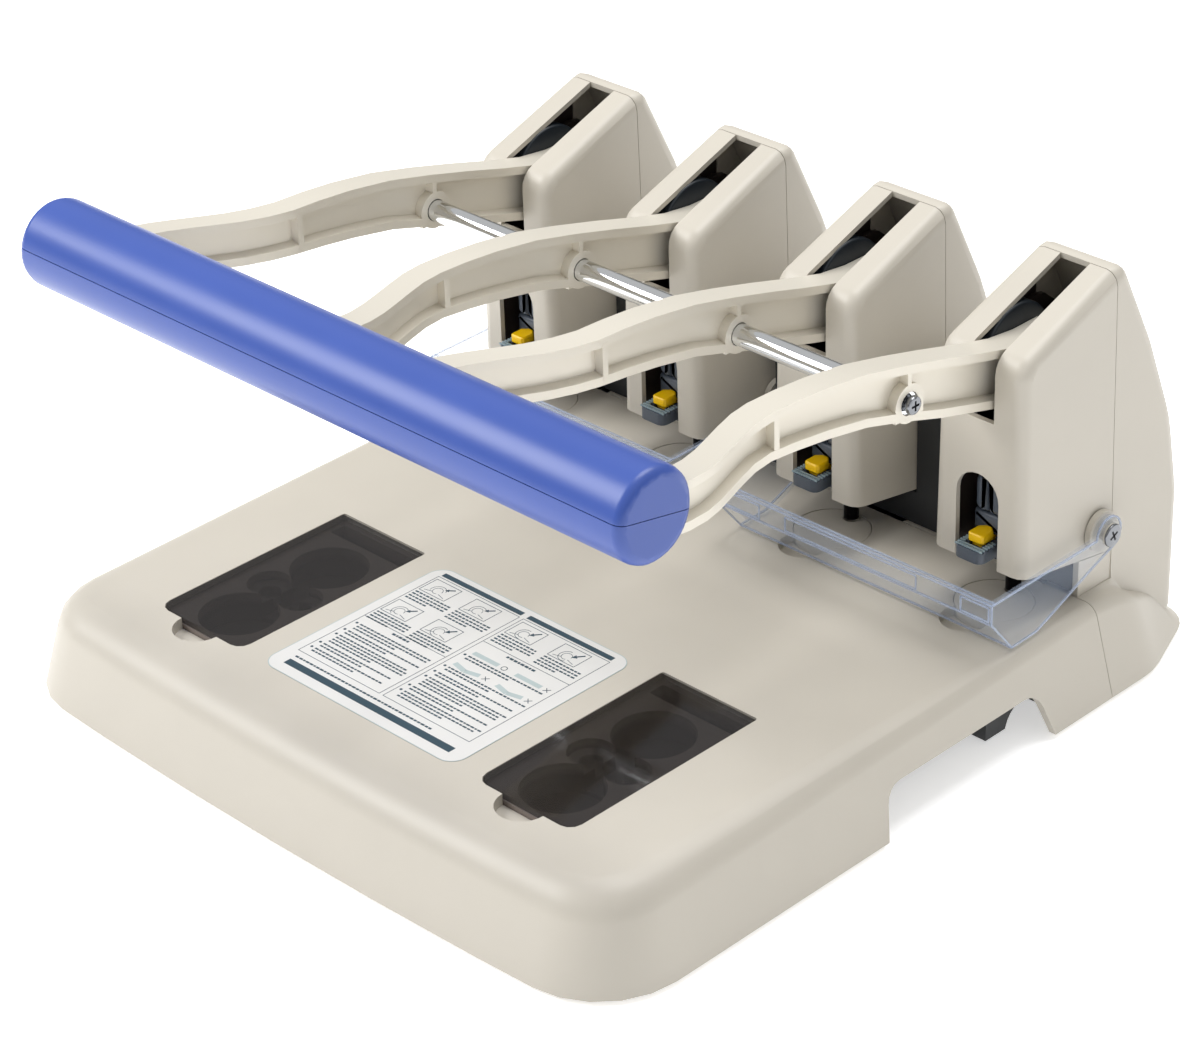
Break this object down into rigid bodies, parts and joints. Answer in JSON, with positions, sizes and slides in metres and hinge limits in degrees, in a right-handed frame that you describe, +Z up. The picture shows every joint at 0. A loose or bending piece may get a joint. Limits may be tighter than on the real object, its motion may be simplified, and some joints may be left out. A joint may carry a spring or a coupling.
{
  "type": "heavy-duty lever paper punch",
  "caption": "Bench-top multi-hole lever paper punch: wide bar handle on cast arms, boxed punch heads, clear hinged guards, spare-disc trays and a rear chip drawer.",
  "frame": {"origin": "on the supporting surface, below the middle of the whole machine", "axes": "+X to the user's right along the row of punches, +Y from the user towards the back, +Z up"},
  "size_m": [0.32, 0.339, 0.192],
  "materials": {
    "cream_abs": "satin",
    "painted_die_cast": "satin",
    "blue_abs": "satin",
    "dark_moulding": "matte",
    "dark_insert": "matte",
    "dark_steel": "satin",
    "zinc_steel": "satin",
    "bright_steel": "polished",
    "chromed_steel": "polished",
    "black_oxide_steel": "satin",
    "slate_nylon": "satin",
    "yellow_nylon": "satin",
    "black_rubber": "matte",
    "smoked_acrylic": "polished",
    "clear_polycarbonate": "polished"
  },
  "bodies": {
    "machine": {"base_shell": "cream_abs", "bottom_plate": "dark_moulding", "foot_front": "black_rubber", "foot_rear": "black_rubber", "tray_insert_left": "dark_insert", "tray_insert_right": "dark_insert", "rear_cover": "cream_abs", "back_gauge": "dark_moulding", "bed_plate": "zinc_steel", "guard_left_screw_1": "cream_abs", "guard_left_screw_2": "cream_abs", "guard_right_screw_1": "cream_abs", "guard_right_screw_2": "cream_abs", "head_cover_1": "cream_abs", "head_cover_2": "cream_abs", "head_cover_3": "cream_abs", "head_cover_4": "cream_abs", "head_frame_1": "dark_steel", "head_frame_2": "dark_steel", "head_frame_3": "dark_steel", "head_frame_4": "dark_steel", "pivot_pin_1": "bright_steel", "pivot_pin_2": "bright_steel", "pivot_pin_3": "bright_steel", "pivot_pin_4": "bright_steel", "return_spring_1": "bright_steel", "return_spring_2": "bright_steel", "return_spring_3": "bright_steel", "return_spring_4": "bright_steel"},
    "lever": {"lever_arm_1": "painted_die_cast", "lever_arm_2": "painted_die_cast", "lever_arm_3": "painted_die_cast", "lever_arm_4": "painted_die_cast", "tie_rod": "chromed_steel", "tie_screw_left": "bright_steel", "tie_screw_right": "bright_steel", "handle_upper": "blue_abs", "handle_lower": "blue_abs", "handle_core": "bright_steel"},
    "punch_1": {"punch_carrier_1": "slate_nylon", "punch_pin_1": "black_oxide_steel"},
    "punch_2": {"punch_carrier_2": "slate_nylon", "punch_pin_2": "black_oxide_steel"},
    "punch_3": {"punch_carrier_3": "slate_nylon", "punch_pin_3": "black_oxide_steel"},
    "punch_4": {"punch_carrier_4": "slate_nylon", "punch_pin_4": "black_oxide_steel"},
    "lock_1": {"lock_tab_1": "yellow_nylon"},
    "lock_2": {"lock_tab_2": "yellow_nylon"},
    "lock_3": {"lock_tab_3": "yellow_nylon"},
    "lock_4": {"lock_tab_4": "yellow_nylon"},
    "disc_1": {"cutting_disc_1": "cream_abs"},
    "disc_2": {"cutting_disc_2": "cream_abs"},
    "disc_3": {"cutting_disc_3": "cream_abs"},
    "disc_4": {"cutting_disc_4": "cream_abs"},
    "guard_left": {"guard_left": "clear_polycarbonate"},
    "guard_right": {"guard_right": "clear_polycarbonate"},
    "lid_left": {"tray_lid_left": "smoked_acrylic"},
    "lid_right": {"tray_lid_right": "smoked_acrylic"},
    "drawer": {"chip_tray": "dark_moulding"}
  },
  "joints": [
    {"name": "lever_hinge", "type": "hinge", "parent": "machine", "child": "lever", "pos_m": [0, 0.1175, 0.13], "axis": [-1, 0, 0], "range_deg": [-1.5, 55]},
    {"name": "punch_slide_1", "type": "slide", "parent": "machine", "child": "punch_1", "axis": [0, 0, 1], "range_m": [-0.0005, 0.0178]},
    {"name": "punch_slide_2", "type": "slide", "parent": "machine", "child": "punch_2", "axis": [0, 0, 1], "range_m": [-0.0005, 0.0178]},
    {"name": "punch_slide_3", "type": "slide", "parent": "machine", "child": "punch_3", "axis": [0, 0, 1], "range_m": [-0.0005, 0.0178]},
    {"name": "punch_slide_4", "type": "slide", "parent": "machine", "child": "punch_4", "axis": [0, 0, 1], "range_m": [-0.0005, 0.0178]},
    {"name": "lock_slide_1", "type": "slide", "parent": "punch_1", "child": "lock_1", "axis": [0, -1, 0], "range_m": [0, 0.0028]},
    {"name": "lock_slide_2", "type": "slide", "parent": "punch_2", "child": "lock_2", "axis": [0, -1, 0], "range_m": [0, 0.0028]},
    {"name": "lock_slide_3", "type": "slide", "parent": "punch_3", "child": "lock_3", "axis": [0, -1, 0], "range_m": [0, 0.0028]},
    {"name": "lock_slide_4", "type": "slide", "parent": "punch_4", "child": "lock_4", "axis": [0, -1, 0], "range_m": [0, 0.0028]},
    {"name": "disc_spin_1", "type": "hinge", "parent": "machine", "child": "disc_1", "pos_m": [-0.12, 0.0815, 0.0345], "axis": [0, 0, 1], "continuous": true},
    {"name": "disc_spin_2", "type": "hinge", "parent": "machine", "child": "disc_2", "pos_m": [-0.04, 0.0815, 0.0345], "axis": [0, 0, 1], "continuous": true},
    {"name": "disc_spin_3", "type": "hinge", "parent": "machine", "child": "disc_3", "pos_m": [0.04, 0.0815, 0.0345], "axis": [0, 0, 1], "continuous": true},
    {"name": "disc_spin_4", "type": "hinge", "parent": "machine", "child": "disc_4", "pos_m": [0.12, 0.0815, 0.0345], "axis": [0, 0, 1], "continuous": true},
    {"name": "guard_hinge_left", "type": "hinge", "parent": "machine", "child": "guard_left", "pos_m": [-0.08, 0.1139, 0.0628], "axis": [-1, 0, 0], "range_deg": [0, 42]},
    {"name": "guard_hinge_right", "type": "hinge", "parent": "machine", "child": "guard_right", "pos_m": [0.08, 0.1139, 0.0628], "axis": [-1, 0, 0], "range_deg": [0, 42]},
    {"name": "lid_hinge_left", "type": "hinge", "parent": "machine", "child": "lid_left", "pos_m": [-0.0862, -0.03775, 0.0368], "axis": [-1, 0, 0], "range_deg": [0, 85]},
    {"name": "lid_hinge_right", "type": "hinge", "parent": "machine", "child": "lid_right", "pos_m": [0.0862, -0.03775, 0.0368], "axis": [-1, 0, 0], "range_deg": [0, 85]},
    {"name": "chip_drawer_slide", "type": "slide", "parent": "machine", "child": "drawer", "axis": [0, 1, 0], "range_m": [0, 0.06]}
  ],
  "couplings": [
    {"joint": "punch_slide_1", "follows": "lever_hinge", "m_per_rad": 0.0185},
    {"joint": "punch_slide_2", "follows": "lever_hinge", "m_per_rad": 0.0185},
    {"joint": "punch_slide_3", "follows": "lever_hinge", "m_per_rad": 0.0185},
    {"joint": "punch_slide_4", "follows": "lever_hinge", "m_per_rad": 0.0185}
  ]
}
